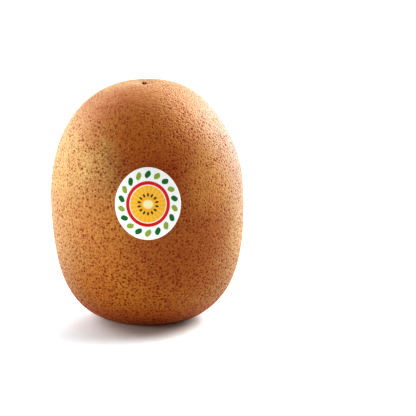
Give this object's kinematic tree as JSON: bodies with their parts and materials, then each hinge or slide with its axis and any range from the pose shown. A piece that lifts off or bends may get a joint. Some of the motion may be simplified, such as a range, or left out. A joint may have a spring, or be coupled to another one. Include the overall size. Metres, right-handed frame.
{
  "type": "golden kiwi fruit",
  "caption": "Whole golden kiwi fruit, a blunt egg standing on its stem end, with a dry flower tip in a dimple on top and an oval paper label on the front.",
  "frame": {"origin": "under the middle of the fruit's box, on the surface that it stands on", "axes": "+Z from the stem end, which it stands on, up to the flower tip; -Y towards the label; +X to the label's right as it is looked at"},
  "size_m": [0.054, 0.0528, 0.0676],
  "materials": {
    "skin": "satin, golden brown, freckled with small reddish brown spots",
    "label": "coated paper, satin"
  },
  "bodies": {
    "root": {"fruit": "skin", "label": "label"}
  },
  "joints": []
}
